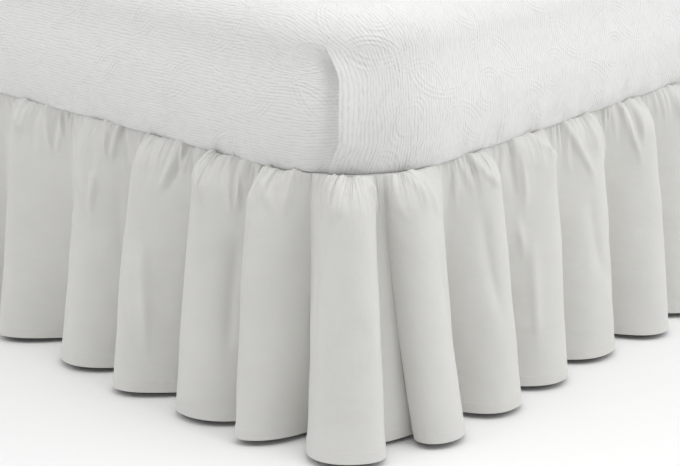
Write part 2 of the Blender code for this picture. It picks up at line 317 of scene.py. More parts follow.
def wander(at, pitch, seed):                # smooth random line between -1 and 1
    draws = np.random.default_rng(seed).uniform(-1.0, 1.0, 4096)
    place = np.asarray(at, float) / pitch + 2000.0
    low = np.floor(place).astype(int)
    share = place - low
    share = share * share * (3.0 - 2.0 * share)
    return draws[low % 4096] * (1.0 - share) + draws[(low + 1) % 4096] * share


def meshObject(name, points, faces, material, uvs=None):
    mesh = bpy.data.meshes.new(name)
    faceList = [tuple(map(int, face)) for face in faces]
    mesh.from_pydata(np.asarray(points).reshape(-1, 3).tolist(), [], faceList)
    if uvs is not None:                     # one pair for each corner of each face
        layer = mesh.uv_layers.new(name="cloth")
        layer.data.foreach_set("uv", np.asarray(uvs, np.float32).ravel())
    mesh.materials.append(material)
    mesh.shade_smooth()
    item = bpy.data.objects.new(name, mesh)
    sceneCollection.objects.link(item)
    return item


def gridFaces(rows, columns, closed=False):
    last = columns if closed else columns - 1
    row, column = np.meshgrid(np.arange(rows - 1), np.arange(last), indexing="ij")
    after = (column + 1) % columns
    above, below = row * columns, (row + 1) * columns
    corners = [above + column, below + column, below + after, above + after]
    return np.stack(corners, axis=-1).reshape(-1, 4)


def endFaces(rows, columns, topCentre, lowCentre):      # triangles from the end rings to their middles
    lastRing, faces = (rows - 1) * columns, []
    for column in range(columns):
        after = (column + 1) % columns
        faces += [(topCentre, column, after), (lastRing + column, lowCentre, lastRing + after)]
    return faces


def bake(item, name):                       # the evaluated result as a plain mesh object
    graph = bpy.context.evaluated_depsgraph_get()
    mesh = bpy.data.meshes.new_from_object(item.evaluated_get(graph), preserve_all_data_layers=True,
                                           depsgraph=graph)
    mesh.name = name
    baked = bpy.data.objects.new(name, mesh)
    bpy.data.objects.remove(item, do_unlink=True)
    baked.name = name
    sceneCollection.objects.link(baked)
    return baked


def nodeGroup(name, inputs):                # geometry tree with named inputs
    group = bpy.data.node_groups.new(name, "GeometryNodeTree")
    group.interface.new_socket("Geometry", in_out="INPUT", socket_type="NodeSocketGeometry")
    for label, kind, value in inputs:
        socket = group.interface.new_socket(label, in_out="INPUT", socket_type=kind)
        if value is not None:
            socket.default_value = value
    group.interface.new_socket("Geometry", in_out="OUTPUT", socket_type="NodeSocketGeometry")
    tree = Tree(group)
    return group, tree, tree.node("NodeGroupInput")


def closeGroup(tree, start, geometry):      # realize instances, give the material, and out
    real = tree.node("GeometryNodeRealizeInstances", {}, {"Geometry": geometry})
    done = tree.node("GeometryNodeSetMaterial", {}, {"Geometry": real, "Material": start.out("Material")})
    tree.feed(tree.nodeTree.nodes.new("NodeGroupOutput").inputs[0], done)


def addNodes(item, group, **values):        # inputs are set by the socket's identifier
    modifier = item.modifiers.new(group.name, "NODES")
    modifier.node_group = group
    identifiers = {s.name: s.identifier for s in group.interface.items_tree if s.in_out == "INPUT"}
    for label, value in values.items():
        modifier[identifiers[label]] = value


def runAlong(name, points, edges, group, **values):     # what a node tree makes along a line of edges
    mesh = bpy.data.meshes.new(name + "Line")
    mesh.from_pydata(np.asarray(points).tolist(), edges, [])
    line = bpy.data.objects.new(name + "Line", mesh)
    sceneCollection.objects.link(line)
    addNodes(line, group, **values)
    made = bake(line, name)
    made.data.shade_smooth()
    return made


# the ruffle

# A turn of the cloth, a crest or a hollow. at: place along the bed from the middle of the foot, plus toward
# +X. out, shoulder: how far it stands off the bed at hem and shoulder. lean: how far it moves along the bed
# on its way down. roll: length of the tangent, so a long one is a broad round fold. tight: how much of the
# pinch below the seam it takes. early: share of its roll that it has where it starts.
Turn = namedtuple("Turn", "at out shoulder lean roll tight early", defaults=(1.0, 0.25))

footLeftCorner = [Turn(*row) for row in (
    (-0.812, 0.022, 0.008, -0.038, 0.03),
    (-0.768, 0.046, 0.01, 0.0, 0.04),
    (-0.728, 0.115, 0.054, 0.0, 0.13),
    (-0.672, 0.02, 0.007, -0.012, 0.03),
    (-0.612, 0.094, 0.05, 0.0, 0.09),
    (-0.56, 0.022, 0.007, 0.0, 0.04),
)]
footRightHalf = [Turn(*row) for row in (
    (0.0, 0.02, 0.007, 0.0, 0.05),
    (0.078, 0.101, 0.046, 0.0, 0.1, 0.6),
    (0.172, 0.022, 0.007, 0.0, 0.03),
    (0.247, 0.099, 0.044, -0.001, 0.152, 0.6),
    (0.336, 0.03, 0.008, 0.0, 0.04),
    (0.375, 0.11, 0.056, 0.0, 0.128, 0.6),
    (0.474, 0.028, 0.01, 0.0, 0.04),
    (0.515, 0.101, 0.06, 0.007, 0.181, 0.7),
    (0.603, 0.034, 0.01, 0.0, 0.02),
    (0.624, 0.102, 0.062, 0.009, 0.055, 0.5),
    (0.677, 0.025, 0.008, 0.005, 0.02),
    (0.723, 0.121, 0.06, -0.004, 0.15, 0.2, 0.5),
    (0.754, 0.054, 0.018, 0.0, 0.02),
    (0.812, 0.04, 0.018, 0.03, 0.03),
)]
rightNearFoot = [Turn(*row) for row in (
    (0.796, 0.052, 0.009, 0.032, -0.035, 1.0, 0.6),
    (0.818, 0.097, 0.05, 0.026, 0.09, 0.0, 0.7),
    (0.872, 0.016, 0.007, 0.0, 0.03),
    (0.941, 0.095, 0.05, 0.002, 0.176, 0.5, 0.4),
    (0.985, 0.02, 0.007, 0.0, 0.03),
    (1.067, 0.09, 0.054, -0.004, 0.147, 0.5, 0.4),
    (1.122, 0.018, 0.007, 0.0, 0.03),
    (1.202, 0.086, 0.048, 0.003, 0.177, 0.5, 0.4),
    (1.264, 0.016, 0.007, 0.0, 0.03),
    (1.337, 0.107, 0.058, -0.002, 0.154, 0.5, 0.4),
    (1.386, 0.02, 0.007, 0.0, 0.03),
    (1.46, 0.096, 0.05, 0.0, 0.15, 0.5, 0.4),
    (1.52, 0.02, 0.007, 0.0, 0.04),
)]
leftNearFoot = [Turn(*row) for row in (
    (-0.797, 0.05, 0.015, -0.019, -0.04),
    (-0.826, 0.094, 0.038, -0.022, 0.08),
    (-0.88, 0.018, 0.007, 0.0, 0.04),
)]

ruffle = {
    "seamOut": 0.0034,          # middle of the cloth where it is sewn round the deck
    "crestOut": 0.06,           # a turn further out than this at the hem is a crest
    "foldPitch": 0.130,
    "fullDrop": 0.375,
    "drops": (0.000, 0.004, 0.012, 0.025, 0.045, 0.065, 0.110, 0.200, 0.375),
    "puff": (0.00, 0.13, 0.40, 0.76, 0.98, 1.00, 1.00, 1.00, 1.00),
    "flare": (0.00, 0.00, 0.00, 0.00, 0.03, 0.09, 0.23, 0.50, 1.00),
    "crestLift": (0.000, 0.0046, 0.0137, 0.0138, 0.0100, 0.0080, 0.0060, 0.0050, 0.0030),
    "hollowLift": (0.000, 0.0043, 0.0119, 0.0108, 0.0035, 0.0010, 0.0, 0.0, 0.0),
    "pinch": (2.6, 2.5, 2.3, 2.0, 1.7, 1.45, 1.15, 1.0, 1.0),  # how narrow a crest is where it starts
    "cloth": 0.0011, "hemCloth": 0.0021,
    "hemDepth": 0.0155, "sharpFrom": math.radians(50),
    "seamStep": 0.0022, "hemStep": 0.0036,      # distance between columns of the mesh
}
halfFoot = bed["width"] / 2 - bed["footCorner"]
cornerRun = bed["footCorner"] * math.pi / 2
headEnd = halfFoot + cornerRun + bed["length"] - bed["footCorner"]


def outlineAt(at):              # points on the box spring's outline and the way out of it
    at = np.asarray(at, float)
    side, run = np.sign(at), np.abs(at)
    centreY = bed["shift"] - bed["length"] / 2 + bed["footCorner"]
    angle = np.clip((run - halfFoot) / bed["footCorner"], 0.0, math.pi / 2)
    normal = np.stack([np.sin(angle), -np.cos(angle)], axis=-1)
    x = np.minimum(run, halfFoot) + bed["footCorner"] * normal[..., 0]
    y = centreY + bed["footCorner"] * normal[..., 1] + np.maximum(run - halfFoot - cornerRun, 0.0)
    return np.stack([side * x, y], axis=-1), np.stack([side * normal[..., 0], normal[..., 1]], axis=-1)


def ruleTurns(first, last, seed):
    draw = random.Random(seed)
    count = round(abs(last - first) / ruffle["foldPitch"])
    pitch = (last - first) / count
    turns = []
    for fold in range(count):
        crest = first + pitch * (fold + 0.5) + draw.uniform(-0.016, 0.016)
        hollow = first + pitch * (fold + 1) + draw.uniform(-0.010, 0.010)
        turns.append(Turn(crest, draw.uniform(0.084, 0.104), draw.uniform(0.024, 0.050),
                          draw.uniform(-0.008, 0.008), draw.uniform(0.09, 0.14)))
        if fold < count - 1:
            turns.append(Turn(hollow, draw.uniform(0.014, 0.030), 0.007, 0.0, draw.uniform(0.03, 0.05)))
    return turns


def flankPoints(turns, flank, share, drop):     # plan place and height of points at one drop
    table = np.array(turns)
    puff = easeThrough(ruffle["drops"], ruffle["puff"], drop)
    flare = easeThrough(ruffle["drops"], ruffle["flare"], drop)
    crestLift = easeThrough(ruffle["drops"], ruffle["crestLift"], drop)
    hollowLift = easeThrough(ruffle["drops"], ruffle["hollowLift"], drop)
    at = table[:, 0] - table[:, 3] * (1.0 - drop / ruffle["fullDrop"])
    out = ruffle["seamOut"] + (table[:, 2] - ruffle["seamOut"]) * puff + (table[:, 1] - table[:, 2]) * flare
    roll = table[:, 4] * puff * (table[:, 6] + (1.0 - table[:, 6]) * flare)
    crest = (table[:, 1] > ruffle["crestOut"]).astype(float)
    rise = share * share * (3.0 - 2.0 * share)
    leave = share * (1.0 - share) ** 2
    arrive = share * share * (share - 1.0)
    after = flank + 1
    way = np.sign(at[after] - at[flank])
    place = at[flank] + (at[after] - at[flank]) * rise + way * (roll[flank] * leave + roll[after] * arrive)
    goesOut = out[after] > out[flank]
    tight = np.where(goesOut, table[after, 5], table[flank, 5])
    pinch = 1.0 + (easeThrough(ruffle["drops"], ruffle["pinch"], drop) - 1.0) * tight
    toHigh = np.where(goesOut, rise, 1.0 - rise) ** pinch
    lower, upper = np.minimum(out[flank], out[after]), np.maximum(out[flank], out[after])
    outward = lower + (upper - lower) * toHigh
    crestShare = crest[flank] + (crest[after] - crest[flank]) * rise
    point, normal = outlineAt(place)
    seamHeight = bed["deckHeight"] + bed["clear"] + bed["solidCloth"] / 2
    height = seamHeight - drop + hollowLift + (crestLift - hollowLift) * crestShare
    flat = point + normal * outward[:, None]
    return np.concatenate([flat, height[:, None]], axis=1), place


def flankColumns(turns):        # (flank, share) of each column, even in the seam and in the hem together
    flanks, shares = [], []
    fine = np.linspace(0.0, 1.0, 121)
    for index in range(len(turns) - 1):
        flank = np.full(fine.shape, index)
        seam, seamAt = flankPoints(turns, flank, fine, 0.0)
        hem, _ = flankPoints(turns, flank, fine, ruffle["fullDrop"])
        seamRun = np.concatenate([[0], np.cumsum(np.abs(np.diff(seamAt)))])
        hemRun = np.concatenate([[0], np.cumsum(np.linalg.norm(np.diff(hem, axis=0), axis=1))])
        effort = seamRun / ruffle["seamStep"] + hemRun / ruffle["hemStep"]
        steps = max(6, math.ceil(0.5 * effort[-1]))
        wanted = np.linspace(0.0, effort[-1], steps + 1)[:-1]
        shares.extend(np.interp(wanted, effort, fine))
        flanks.extend([index] * steps)
    return np.array(flanks + [len(turns) - 2]), np.array(shares + [1.0])


def rowDrops():
    top = np.concatenate([np.linspace(0.0, 0.012, 5), np.linspace(0.0165, 0.080, 14)])
    middle = np.linspace(0.090, ruffle["fullDrop"] - ruffle["hemDepth"] - 0.006, 21)
    stitch = ruffle["fullDrop"] - ruffle["hemDepth"]
    hem = np.array([stitch - 0.0012, stitch, stitch + 0.0012, stitch + 0.006, ruffle["fullDrop"]])
    return np.concatenate([top, middle, hem])


# A crease in the cloth: a soft ridge (plus) or trough (minus) from one place to another, both given along
# the seam and down from it, with its half width across the cloth and how far it bends on its way
Crease = namedtuple("Crease", "at drop endAt endDrop width depth bend", defaults=(0.0,))

footCreases = [Crease(*row) for row in (
    (0.708, 0.006, 0.718, 0.063, 0.0066, 0.0032), (0.719, 0.006, 0.719, 0.063, 0.0066, 0.0032),
    (0.713, 0.006, 0.719, 0.058, 0.005, -0.0017), (0.724, 0.006, 0.727, 0.048, 0.007, -0.0014),
    (0.729, 0.006, 0.752, 0.063, 0.0066, 0.003, 0.008), (0.573, 0.006, 0.626, 0.053, 0.0066, 0.0032),
    (0.632, 0.006, 0.639, 0.063, 0.005, -0.0018), (0.612, 0.006, 0.639, 0.063, 0.0066, 0.0032),
    (0.65, 0.006, 0.642, 0.068, 0.0066, 0.0032), (0.539, 0.006, 0.551, 0.082, 0.0066, 0.0032),
    (0.559, 0.006, 0.557, 0.082, 0.0066, 0.0032), (0.554, 0.006, 0.567, 0.072, 0.005, -0.0019),
    (0.465, 0.006, 0.462, 0.087, 0.0066, 0.0032), (0.502, 0.006, 0.515, 0.077, 0.0066, 0.0032),
    (0.447, 0.006, 0.418, 0.077, 0.006, -0.0023), (0.431, 0.006, 0.442, 0.053, 0.0066, 0.0032),
    (0.452, 0.006, 0.457, 0.058, 0.004, -0.0019), (0.426, 0.006, 0.403, 0.082, 0.0066, 0.0032, 0.005),
    (0.242, 0.08, 0.253, 0.142, 0.0066, 0.0032), (0.261, 0.08, 0.257, 0.142, 0.0066, 0.0032),
    (0.253, 0.075, 0.255, 0.128, 0.006, -0.0014), (0.264, 0.006, 0.281, 0.063, 0.0066, 0.0032),
    (0.292, 0.006, 0.284, 0.063, 0.0066, 0.0032), (0.297, 0.006, 0.318, 0.063, 0.006, -0.0019),
    (0.119, 0.006, 0.134, 0.077, 0.0066, 0.0032), (0.157, 0.006, 0.142, 0.077, 0.0066, 0.0032),
    (0.16, 0.006, 0.219, 0.092, 0.007, -0.002), (0.214, 0.156, 0.17, 0.194, 0.0066, 0.0025),
    (0.038, 0.006, -0.004, 0.082, 0.008, -0.002), (0.063, 0.006, 0.089, 0.058, 0.0066, 0.0032),
    (0.3, 0.1, 0.31, 0.24, 0.012, -0.0014), (0.56, 0.12, 0.548, 0.3, 0.014, -0.003),
    (0.7, 0.11, 0.706, 0.3, 0.016, -0.0025), (0.39, 0.16, 0.402, 0.33, 0.013, 0.0028),
)]
rightCreases = [Crease(*row) for row in (
    (0.79, 0.006, 0.799, 0.053, 0.0068, 0.0031), (0.799, 0.006, 0.812, 0.072, 0.0068, 0.0031),
    (0.783, 0.006, 0.785, 0.053, 0.01, -0.0016), (0.779, 0.006, 0.789, 0.068, 0.007, 0.003),
    (0.891, 0.006, 0.911, 0.058, 0.008, -0.0017), (0.911, 0.006, 0.941, 0.063, 0.0068, 0.0031, 0.008),
    (0.852, 0.006, 0.852, 0.043, 0.005, -0.0016), (1.03, 0.006, 1.035, 0.115, 0.0068, 0.0031, 0.004),
    (1.025, 0.13, 1.033, 0.168, 0.0068, 0.0028), (1.017, 0.006, 1.022, 0.092, 0.007, -0.0014),
    (1.059, 0.006, 1.129, 0.102, 0.0068, 0.0031, -0.008), (1.154, 0.006, 1.199, 0.115, 0.0068, 0.0031, 0.008),
    (1.206, 0.006, 1.212, 0.082, 0.0068, 0.0031), (1.305, 0.006, 1.329, 0.102, 0.0068, 0.0031),
    (1.331, 0.006, 1.329, 0.072, 0.0068, 0.0031), (1.318, 0.006, 1.326, 0.068, 0.006, -0.0017),
    (1.27, 0.006, 1.277, 0.072, 0.005, -0.0016), (1.45, 0.006, 1.454, 0.063, 0.0068, 0.0031),
    (0.925, 0.09, 0.94, 0.26, 0.013, -0.003), (1.045, 0.17, 1.052, 0.33, 0.011, 0.0026),
    (1.19, 0.13, 1.204, 0.3, 0.013, -0.0028), (0.806, 0.12, 0.812, 0.3, 0.014, -0.0026),
)]


def hangGrid(turns, creases):   # the cloth's middle surface, its place along the seam and its run
    flank, share = flankColumns(turns)
    drops = rowDrops()
    grid = np.array([flankPoints(turns, flank, share, drop)[0] for drop in drops])
    _, seamAt = flankPoints(turns, flank, share, 0.0)
    run = np.concatenate([np.zeros((len(drops), 1)),
                          np.cumsum(np.linalg.norm(np.diff(grid, axis=1), axis=2), axis=1)], axis=1)
    across, down = np.gradient(grid, axis=1), np.gradient(grid, axis=0)
    normal = np.cross(down, across)
    normal /= np.linalg.norm(normal, axis=2, keepdims=True)
    order = np.argsort(seamAt)
    push = np.zeros(run.shape)
    for crease in creases:
        along = (drops - crease.drop) / (crease.endDrop - crease.drop)
        inside = np.clip(along, 0, 1)
        centre = crease.at + (crease.endAt - crease.at) * inside + 4.0 * crease.bend * inside * (1.0 - inside)
        fade = smooth(-0.15, 0.12, along) * (1.0 - smooth(0.55, 1.0, along))
        width = crease.width * (1.15 - 0.35 * inside)           # narrower on its way
        for row in np.nonzero(fade > 0.001)[0]:
            middle = np.interp(centre[row], seamAt[order], run[row][order])
            away = (run[row] - middle) / width[row]
            push[row] += 1.5 * crease.depth * fade[row] / (1.0 + away ** 2) ** 2
    return grid + normal * push[..., None], seamAt, run, drops


def makeGatherTree():           # fine gathers below the seam, soft hang, and puckers at the hem stitching
    group, tree, start = nodeGroup("gatherCloth", [
        ("Pitch", "NodeSocketFloat", 0.019), ("Depth", "NodeSocketFloat", 0.0050),
        ("Reach", "NodeSocketFloat", 0.075), ("Softness", "NodeSocketFloat", 0.005),
        ("Pucker", "NodeSocketFloat", 0.0006), ("Stitch Drop", "NodeSocketFloat", 0.36),
        ("Seed", "NodeSocketFloat", 1.0), ("Material", "NodeSocketMaterial", None)])

    def attribute(name):
        return tree.node("GeometryNodeInputNamedAttribute", {"data_type": "FLOAT"}, {"Name": name})

    seam, drop, run = attribute("seamAt"), attribute("drop"), attribute("run")
    normal = tree.node("GeometryNodeInputNormal")
    position = tree.node("GeometryNodeInputPosition")
    offsets = []
    for size, depth, reach in ((0.45, 0.75, 0.60), (1.0, 0.8, 1.0)):     # fine short ones, broad long ones
        drift = clothNoise(tree, seam, drop, (30.0, 14.0), start.out("Seed"), detail=1.0)
        place = seam / (start.out("Pitch") * size) + drift * 1.2 + start.out("Seed")
        cell = tree.node("ShaderNodeTexVoronoi", {"voronoi_dimensions": "1D", "feature": "F1"},
                         {"W": place, "Scale": 1.0, "Randomness": 0.8})
        pick, second, _ = tree.split(cell.out("Color"))
        ridge = 1.0 - (cell.out("Distance") * 2.0).math("MINIMUM", 1.0).math("POWER", 0.8)
        length = start.out("Reach") * reach * (pick * 1.2 + 0.35)
        fade = 1.0 - (drop / length).step(0.15, 1.0)
        offsets.append((ridge - 0.45) * fade * (second * 0.7 + 0.5) * start.out("Depth") * depth)
    offsets = [offset * drop.step(-0.002, 0.024) for offset in offsets]     # flat in the seam itself
    soft = tree.noise(7.0, 2.0, 0.45, at=position) - 0.5
    offsets.append(soft * start.out("Softness") * drop.step(0.02, 0.16) * 2.0)
    nearStitch = 1.0 - (drop - start.out("Stitch Drop")).math("ABSOLUTE").step(0.0, 0.012)
    tug = tree.noise(1.0, 1.0, 0.5, at=run * 70.0 + start.out("Seed"), size="1D") - 0.5
    offsets.append(tug * start.out("Pucker") * 2.0 * nearStitch)
    total = sum(offsets[1:], offsets[0])
    moved = tree.node("GeometryNodeSetPosition", {},
                      {"Geometry": start.out("Geometry"), "Offset": normal.scaled(total)})
    closeGroup(tree, start, moved)
    return group


def makeStitchTree():           # a stitch every so far along a line of edges
    group, tree, start = nodeGroup("stitchRow", [
        ("Pitch", "NodeSocketFloat", 0.0036), ("Length", "NodeSocketFloat", 0.0027),
        ("Radius", "NodeSocketFloat", 0.00032), ("Material", "NodeSocketMaterial", None)])
    curve = tree.node("GeometryNodeMeshToCurve", {}, {"Mesh": start.out("Geometry")})
    evened = tree.node("GeometryNodeResampleCurve", {"mode": "LENGTH"},
                       {"Curve": curve, "Length": start.out("Pitch")})
    points = tree.node("GeometryNodeCurveToPoints", {"mode": "EVALUATED"}, {"Curve": evened})
    bead = tree.node("GeometryNodeMeshUVSphere", {}, {"Segments": 6, "Rings": 4, "Radius": 1.0})
    size = tree.combine(start.out("Radius"), start.out("Radius"), start.out("Length") * 0.5)
    sewn = tree.node("GeometryNodeInstanceOnPoints", {}, {
        "Points": points, "Instance": bead, "Rotation": points.out("Rotation"), "Scale": size})
    closeGroup(tree, start, sewn)
    return group


gatherTree = makeGatherTree()
stitchTree = makeStitchTree()


def stitchLine(name, points):
    edges = [(i, i + 1) for i in range(len(points) - 1)]
    return runAlong(name, points, edges, stitchTree, Material=sewingThread)


def makeRuffle(name, node, turns, creases, seed):
    grid, seamAt, run, drops = hangGrid(turns, creases)
    rows, columns = grid.shape[:2]
    faces = gridFaces(rows, columns)
    if np.sum(seamAt[1:] - seamAt[:-1]) < 0:
        faces = faces[:, ::-1]
    cutRun, down = np.broadcast_to(run[-1], run.shape), np.broadcast_to(drops[:, None], run.shape)
    uvGrid = np.stack([cutRun, down], axis=-1).reshape(-1, 2)
    item = meshObject(name, grid, faces, skirtCloth, uvGrid[faces.ravel()])
    labels = {"seamAt": np.broadcast_to(seamAt, run.shape), "run": run, "drop": down}
    for label, values in labels.items():
        layer = item.data.attributes.new(label, "FLOAT", "POINT")
        layer.data.foreach_set("value", values.astype(np.float32).ravel())
    stitchDrop = ruffle["fullDrop"] - ruffle["hemDepth"]
    addNodes(item, gatherTree, Seed=float(seed), Material=skirtCloth, **{"Stitch Drop": stitchDrop})
    hung = bake(item, name)
    for label in labels:
        hung.data.attributes.remove(hung.data.attributes[label])
    points = np.array([v.co for v in hung.data.vertices]).reshape(rows, columns, 3)
    normals = np.array([v.normal for v in hung.data.vertices]).reshape(rows, columns, 3)
    row = int(np.argmin(np.abs(drops - stitchDrop)))
    outer = points[row] + normals[row] * (ruffle["hemCloth"] / 2 + 0.0001)
    sewn = stitchLine(name + "Stitches", outer)

    hem = hung.vertex_groups.new(name="hem")
    single = ruffle["cloth"] / ruffle["hemCloth"]
    for index, drop in enumerate(drops):
        doubled = float(smooth(stitchDrop - 0.001, stitchDrop + 0.001, drop))
        share = single + (1.0 - single) * doubled
        hem.add(range(index * columns, (index + 1) * columns), share, "REPLACE")
    thicken = hung.modifiers.new("thickness", "SOLIDIFY")
    thicken.thickness, thicken.offset = ruffle["hemCloth"], 0.0
    thicken.vertex_group = "hem"
    done = bake(hung, name)
    done.data.set_sharp_from_angle(angle=ruffle["sharpFrom"])
    print(name, columns, "columns", rows, "rows, hem run", round(float(run[-1][-1]), 3),
          "triangles", sum(len(p.vertices) - 2 for p in done.data.polygons))
    for piece in (done, sewn):
        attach(piece, "root")
    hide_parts(node)
    return done, sewn


footTurns = footLeftCorner + ruleTurns(footLeftCorner[-1].at, footRightHalf[0].at, 3) + footRightHalf
headEdge = {side: Turn(side * headEnd, 0.024, 0.008, 0.0, 0.05) for side in (1, -1)}
rightTurns = rightNearFoot + ruleTurns(rightNearFoot[-1].at, headEnd, 5) + [headEdge[1]]
leftTurns = leftNearFoot + ruleTurns(leftNearFoot[-1].at, -headEnd, 9) + [headEdge[-1]]
ruffleFoot, footStitches = makeRuffle("ruffleFoot", "ruffle_foot", footTurns, footCreases, 11)
ruffleRight, rightStitches = makeRuffle("ruffleRight", "ruffle_right", rightTurns, rightCreases, 23)
ruffleLeft, leftStitches = makeRuffle("ruffleLeft", "ruffle_left", leftTurns, [], 37)
print("ruffles hung")


# the mattress in its cover

mattress = {
    "corners": (0.17, 0.12), "proud": 0.008, "thick": 0.225,
    "upperRound": 0.055,
    "bulge": 0.003,             # how far the side swells at half height
    "lowerEdge": (              # (out, height) of the lower edge, where the cover turns under
        (0.0230, 0.068), (0.0229, 0.057), (0.0223, 0.046), (0.0212, 0.036), (0.0197, 0.027),
        (0.0179, 0.019), (0.0160, 0.0120), (0.0142, 0.0062), (0.0126, 0.0024), (0.0106, -0.0001),
        (0.0070, -0.0006), (-0.010, 0.0)),
    "crown": 0.010,
    "pleatAngle": 38.0,         # from the foot's way out, round the corner
    "pleatShiftLow": 0.014, "pleatShiftHigh": 0.022,
    "pleatDip": 0.0115, "pleatRise": 0.0060,
    "pleatStart": 0.085,        # run down from the top where the pleat opens
    "pleatColumns": (0.00015, 0.0012, 0.003, 0.006, 0.010, 0.016, 0.024, 0.034), "pleatClear": 0.038,
    "tuckDepth": 0.0090, "tuckPitch": 0.028, "tuckReach": 0.050,
    "softness": 0.0030, "columnStep": 0.008, "sharpFrom": math.radians(50),
}


def bedPlan(run, corners):      # right half of a rounded plan, from the foot's middle to the head's
    run = np.asarray(run, float)
    foot, head = corners
    halfWidth, halfLength = bed["width"] / 2, bed["length"] / 2
    ends = np.cumsum([halfWidth - foot, foot * math.pi / 2, 2 * halfLength - foot - head, head * math.pi / 2])
    footAngle = np.clip((run - ends[0]) / foot, 0.0, math.pi / 2)
    headAngle = np.clip((run - ends[2]) / head, 0.0, math.pi / 2)
    angle = footAngle + headAngle
    normal = np.stack([np.sin(angle), -np.cos(angle)], axis=-1)
    sideRun = np.clip(run - ends[1], 0.0, ends[2] - ends[1])
    x = np.where(run < ends[2], np.minimum(run, ends[0]) + foot * np.sin(footAngle),
                 halfWidth - head + head * np.cos(headAngle) - np.maximum(run - ends[3], 0.0))
    y = np.where(run < ends[2], -halfLength + foot - foot * np.cos(footAngle) + sideRun,
                 halfLength - head + head * np.sin(headAngle))
    return np.stack([x, y + bed["shift"]], axis=-1), normal, ends


def coverProfile():             # (reach, height, run down from the top) of the side, top edge first
    bottom = bed["deckHeight"] + bed["clear"] * 2 + bed["solidCloth"]
    top = bottom + mattress["thick"]
    upper, proud, lowerEdge = mattress["upperRound"], mattress["proud"], mattress["lowerEdge"]
    rows = []
    for angle in np.radians(np.linspace(0, 90, 13)):
        rows.append((proud - upper * (1 - math.sin(angle)), top - upper * (1 - math.cos(angle))))
    firstOut, firstHeight = lowerEdge[0]
    for share in np.linspace(0, 1, 12)[1:-1]:
        swell = proud + (firstOut - proud) * float(smooth(0.0, 1.0, share))
        rows.append((swell, top - upper + (bottom + firstHeight - top + upper) * share))
    rows.extend((out, bottom + above) for out, above in lowerEdge)
    rows = np.array(rows)
    level = np.clip((rows[:, 1] - bottom) / mattress["thick"], 0, 1)
    rows[:, 0] += mattress["bulge"] * np.sin(level * math.pi) ** 2
    down = np.concatenate([[0], np.cumsum(np.linalg.norm(np.diff(rows, axis=0), axis=1))])
    return rows[:, 0], rows[:, 1], down, bottom, top


def coverColumns(pleats, end):  # places round the plan, close together at each pleat
    places = list(np.arange(0.0, end, mattress["columnStep"]))
    near = np.array(mattress["pleatColumns"])
    for pleat in pleats:
        places = [p for p in places if abs(p - pleat) > mattress["pleatClear"]]
        places.extend(pleat + near)
        places.extend(pleat - near)
    return np.array(sorted(places) + [end])


